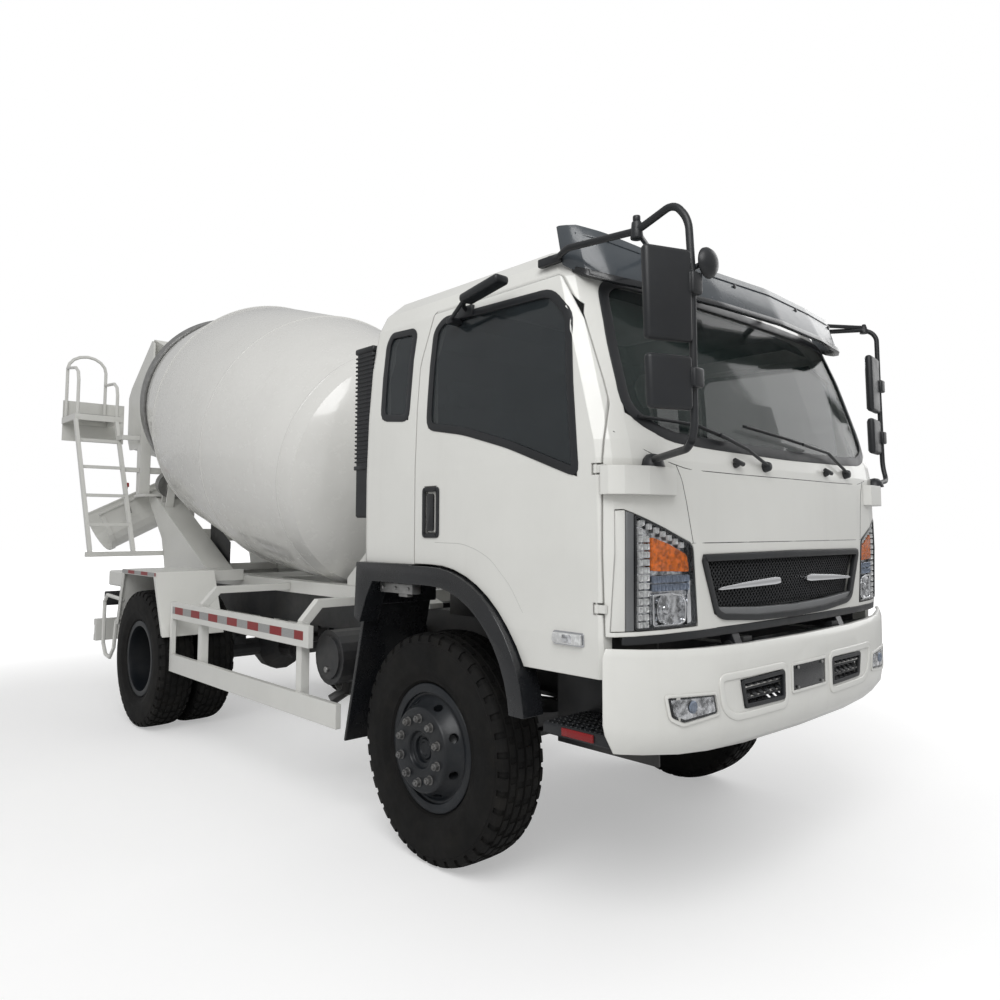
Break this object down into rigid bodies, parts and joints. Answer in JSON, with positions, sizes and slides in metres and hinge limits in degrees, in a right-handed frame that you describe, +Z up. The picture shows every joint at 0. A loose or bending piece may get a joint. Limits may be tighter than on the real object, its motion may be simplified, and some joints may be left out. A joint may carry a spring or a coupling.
{
  "type": "concrete mixer truck",
  "caption": "Two-axle cab-over concrete mixer truck with tilting cab, turning inclined drum, feed hopper, swinging discharge chute, ladder and side guards.",
  "frame": {"origin": "on the ground below the middle of the bounding box", "axes": "+Y towards the rear, -Y the way the truck drives, +X its left side, +Z up"},
  "size_m": [2.7, 7.6853, 3.6222],
  "materials": {
    "white_paint": "gloss",
    "chassis_paint": "satin",
    "black_plastic": "matte",
    "grey_trim": "matte",
    "steel": "brushed",
    "glass": "clear",
    "lamp_lens": "gloss",
    "tyre": "matte",
    "rim_paint": "satin"
  },
  "bodies": {
    "chassis": {"frame": "chassis_paint", "subframe": "white_paint", "front_axle": "chassis_paint", "rear_axle": "chassis_paint", "driveline": "chassis_paint", "silencer": "chassis_paint", "fuel_tank": "steel", "bumper": "white_paint", "step_right": "black_plastic", "step_left": "black_plastic", "front_pedestal": "white_paint", "drum_gearbox": "steel", "rear_pedestal": "white_paint", "hopper": "white_paint", "ladder_platform": "white_paint", "rear_panel": "white_paint", "side_guard_right": "white_paint", "side_guard_left": "white_paint", "rear_fender_right": "white_paint", "rear_fender_left": "white_paint", "rear_bumper": "white_paint"},
    "cab": {"cab_shell": "white_paint", "windscreen": "glass", "grille": "black_plastic", "visor": "grey_trim", "intake_duct": "black_plastic", "seats": "grey_trim", "dashboard": "grey_trim", "headlamp_right": "lamp_lens", "headlamp_left": "lamp_lens", "front_fender_right": "black_plastic", "front_fender_left": "black_plastic", "mirrors_right": "black_plastic", "mirrors_left": "black_plastic", "quarter_glass_right": "glass", "quarter_glass_left": "glass"},
    "door_right": {"door_right": "white_paint", "door_glass_right": "glass"},
    "door_left": {"door_left": "white_paint", "door_glass_left": "glass"},
    "steer_right": {"knuckle_right": "chassis_paint"},
    "steer_left": {"knuckle_left": "chassis_paint"},
    "wheel_front_right": {"tyre_front_right": "tyre", "rim_front_right": "rim_paint"},
    "wheel_front_left": {"tyre_front_left": "tyre", "rim_front_left": "rim_paint"},
    "wheels_rear_right": {"tyre_rear_outer_right": "tyre", "tyre_rear_inner_right": "tyre", "rims_rear_right": "rim_paint"},
    "wheels_rear_left": {"tyre_rear_outer_left": "tyre", "tyre_rear_inner_left": "tyre", "rims_rear_left": "rim_paint"},
    "drum": {"drum": "white_paint"},
    "roller_right": {"roller_right": "steel"},
    "roller_left": {"roller_left": "steel"},
    "chute_carrier": {"chute_carrier": "black_plastic"},
    "chute": {"chute": "white_paint"}
  },
  "joints": [
    {"name": "steer_right", "type": "hinge", "parent": "chassis", "child": "steer_right", "pos_m": [-0.78, -2.25265, 0.527], "axis": [0, 0, 1], "range_deg": [-35, 35]},
    {"name": "steer_left", "type": "hinge", "parent": "chassis", "child": "steer_left", "pos_m": [0.78, -2.25265, 0.527], "axis": [0, 0, 1], "range_deg": [-35, 35]},
    {"name": "wheel_front_right_spin", "type": "hinge", "parent": "steer_right", "child": "wheel_front_right", "pos_m": [-0.952, -2.25265, 0.527], "axis": [1, 0, 0], "continuous": true},
    {"name": "wheel_front_left_spin", "type": "hinge", "parent": "steer_left", "child": "wheel_front_left", "pos_m": [0.952, -2.25265, 0.527], "axis": [1, 0, 0], "continuous": true},
    {"name": "wheels_rear_right_spin", "type": "hinge", "parent": "chassis", "child": "wheels_rear_right", "pos_m": [-0.911, 1.34735, 0.527], "axis": [1, 0, 0], "continuous": true},
    {"name": "wheels_rear_left_spin", "type": "hinge", "parent": "chassis", "child": "wheels_rear_left", "pos_m": [0.911, 1.34735, 0.527], "axis": [1, 0, 0], "continuous": true},
    {"name": "cab_tilt", "type": "hinge", "parent": "chassis", "child": "cab", "pos_m": [0, -3.48765, 1.07], "axis": [1, 0, 0], "range_deg": [0, 45]},
    {"name": "door_right_hinge", "type": "hinge", "parent": "cab", "child": "door_right", "pos_m": [-1.1435, -3.34865, 1.75], "axis": [0, 0, 1], "range_deg": [0, 70]},
    {"name": "door_left_hinge", "type": "hinge", "parent": "cab", "child": "door_left", "pos_m": [1.1435, -3.34865, 1.75], "axis": [0, 0, -1], "range_deg": [0, 70]},
    {"name": "drum_spin", "type": "hinge", "parent": "chassis", "child": "drum", "pos_m": [0, -0.35165, 1.969], "axis": [0, 0.9609, 0.277], "continuous": true},
    {"name": "roller_right_spin", "type": "hinge", "parent": "chassis", "child": "roller_right", "pos_m": [-0.48765, 2.72889, 1.97796], "axis": [0, 0.9609, 0.277], "continuous": true},
    {"name": "roller_left_spin", "type": "hinge", "parent": "chassis", "child": "roller_left", "pos_m": [0.48765, 2.72889, 1.97796], "axis": [0, 0.9609, 0.277], "continuous": true},
    {"name": "chute_swing", "type": "hinge", "parent": "chassis", "child": "chute_carrier", "pos_m": [0, 3.48735, 1.6], "axis": [0, 0, -1], "range_deg": [0, 180]},
    {"name": "chute_tilt", "type": "hinge", "parent": "chute_carrier", "child": "chute", "pos_m": [0, 3.48735, 1.66], "axis": [0, 1, 0], "range_deg": [-10, 15]}
  ],
  "couplings": [
    {"joint": "steer_left", "follows": "steer_right", "ratio": 1},
    {"joint": "roller_right_spin", "follows": "drum_spin", "ratio": -6.8},
    {"joint": "roller_left_spin", "follows": "drum_spin", "ratio": -6.8}
  ]
}
